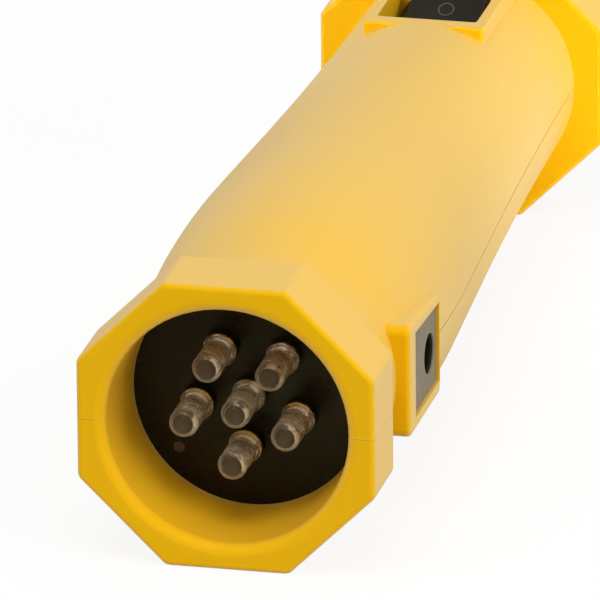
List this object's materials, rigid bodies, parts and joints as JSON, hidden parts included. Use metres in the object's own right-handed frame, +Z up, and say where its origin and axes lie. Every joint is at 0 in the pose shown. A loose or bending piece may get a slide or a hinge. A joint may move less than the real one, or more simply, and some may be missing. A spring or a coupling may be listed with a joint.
{
  "type": "hand-held led test lamp",
  "caption": "Torch-like battery LED test lamp: octagonal shroud head with recessed LED board, round tapering handle, side charging jack and a rocker switch on top.",
  "frame": {"origin": "on the lamp's long axis, half way between the head's front face and the tail face: the centre of the whole lamp's box", "axes": "-Y is the way the light leaves, +Z is up (switch side), +X is the charging-jack side"},
  "size_m": [0.05, 0.19, 0.0492],
  "materials": {
    "yellow_shell": "satin moulded ABS",
    "screw_steel": "zinc plated",
    "clear_lens": "clear epoxy",
    "tinned_leads": "tinned",
    "led_chip": "die in clear resin",
    "solder": "bright solder",
    "black_board": "glossy black solder mask",
    "gasket_rubber": "matt",
    "red_lens": "diffused red",
    "resistor_ceramic": "matt",
    "grey_plate": "fine texture",
    "black_plastic": "satin",
    "contact_brass": "plain",
    "green_board": "solder mask",
    "capacitor_can": "sleeved",
    "ferrite": "matt",
    "copper_wire": "enamelled",
    "chip_epoxy": "matt",
    "cell_wrap": "shrink wrap",
    "nickel": "nickel plated",
    "foam_black": "closed-cell foam",
    "red_insulation": "PVC",
    "black_insulation": "PVC",
    "rocker_black": "satin",
    "spring_steel": "plain"
  },
  "bodies": {
    "case": {"upper_shell": "yellow_shell", "lower_shell": "yellow_shell", "shell_screws": "screw_steel", "centre_led_lens": "clear_lens", "ring_led_lenses": "clear_lens", "led_lead_frames": "tinned_leads", "led_chips": "led_chip", "led_solder_joints": "solder", "led_board": "black_board", "board_gasket": "gasket_rubber", "charge_indicator": "red_lens", "led_resistors": "resistor_ceramic", "jack_plate": "grey_plate", "jack_housing": "black_plastic", "jack_pin": "contact_brass", "jack_contact": "contact_brass", "jack_terminals": "tinned_leads", "switch_housing": "black_plastic", "switch_terminals": "contact_brass", "charge_board": "green_board", "charge_board_screws": "screw_steel", "smoothing_capacitor": "capacitor_can", "inductor_core": "ferrite", "inductor_winding": "copper_wire", "charge_chip": "chip_epoxy", "rectifier_diodes": "chip_epoxy", "battery_cells": "cell_wrap", "battery_caps": "nickel", "battery_links": "nickel", "battery_saddles": "foam_black", "positive_wires": "red_insulation", "negative_wires": "black_insulation"},
    "rocker": {"rocker_button": "rocker_black", "rocker_plunger": "contact_brass", "plunger_spring": "spring_steel"},
    "seesaw": {"contact_seesaw": "contact_brass"}
  },
  "joints": [
    {"name": "rocker_tilt", "type": "hinge", "parent": "case", "child": "rocker", "pos_m": [0, 0.06655, 0.0131], "axis": [1, 0, 0], "range_deg": [-24, 0]},
    {"name": "seesaw_tilt", "type": "hinge", "parent": "case", "child": "seesaw", "pos_m": [0, 0.06655, 0.00615], "axis": [1, 0, 0], "range_deg": [0, 14]}
  ],
  "couplings": [
    {"joint": "seesaw_tilt", "follows": "rocker_tilt", "ratio": -0.58333}
  ]
}
